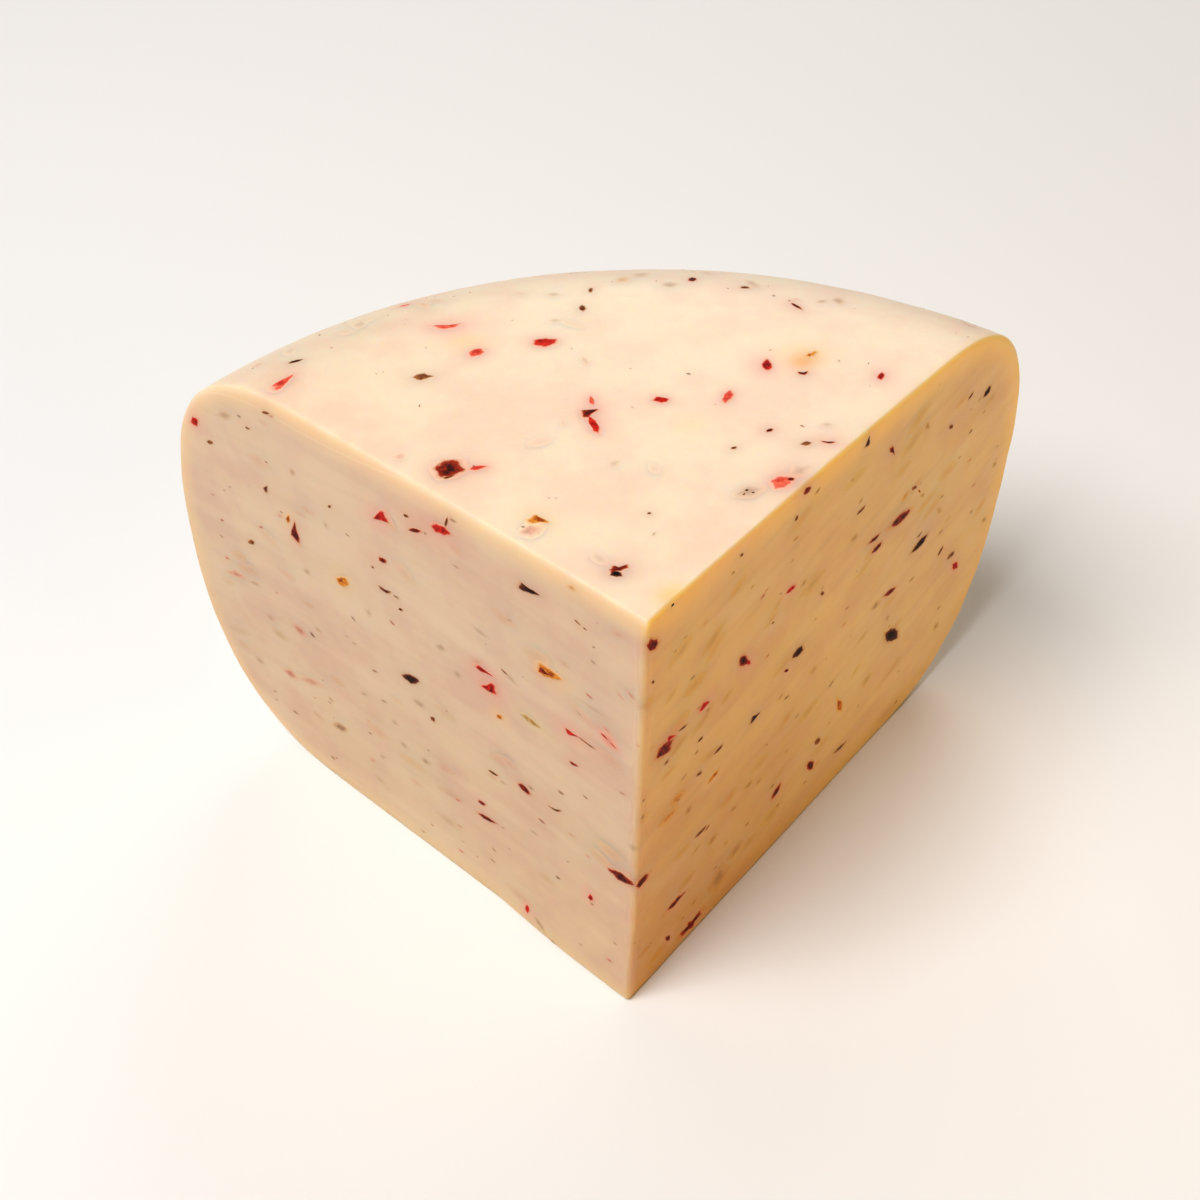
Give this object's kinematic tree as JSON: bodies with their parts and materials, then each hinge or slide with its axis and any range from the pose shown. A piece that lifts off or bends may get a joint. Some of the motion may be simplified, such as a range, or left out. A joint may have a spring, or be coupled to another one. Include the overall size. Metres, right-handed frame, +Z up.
{
  "type": "cheese wedge",
  "caption": "Wedge cut from a round of pale semi-hard cheese, with two flat cut faces, a soft rounded rind side and chilli flakes set in the paste.",
  "frame": {"origin": "middle of the foot of the wedge's box, on the surface that it stands on", "axes": "+X across the wedge, from the left cut to the right cut seen from the tip; +Y from the tip towards the rind; +Z up"},
  "size_m": [0.1674, 0.1214, 0.1003],
  "materials": {
    "cheese": "satin",
    "chilli_flakes": "satin"
  },
  "bodies": {
    "root": {"cheese_wedge": "cheese"}
  },
  "joints": []
}
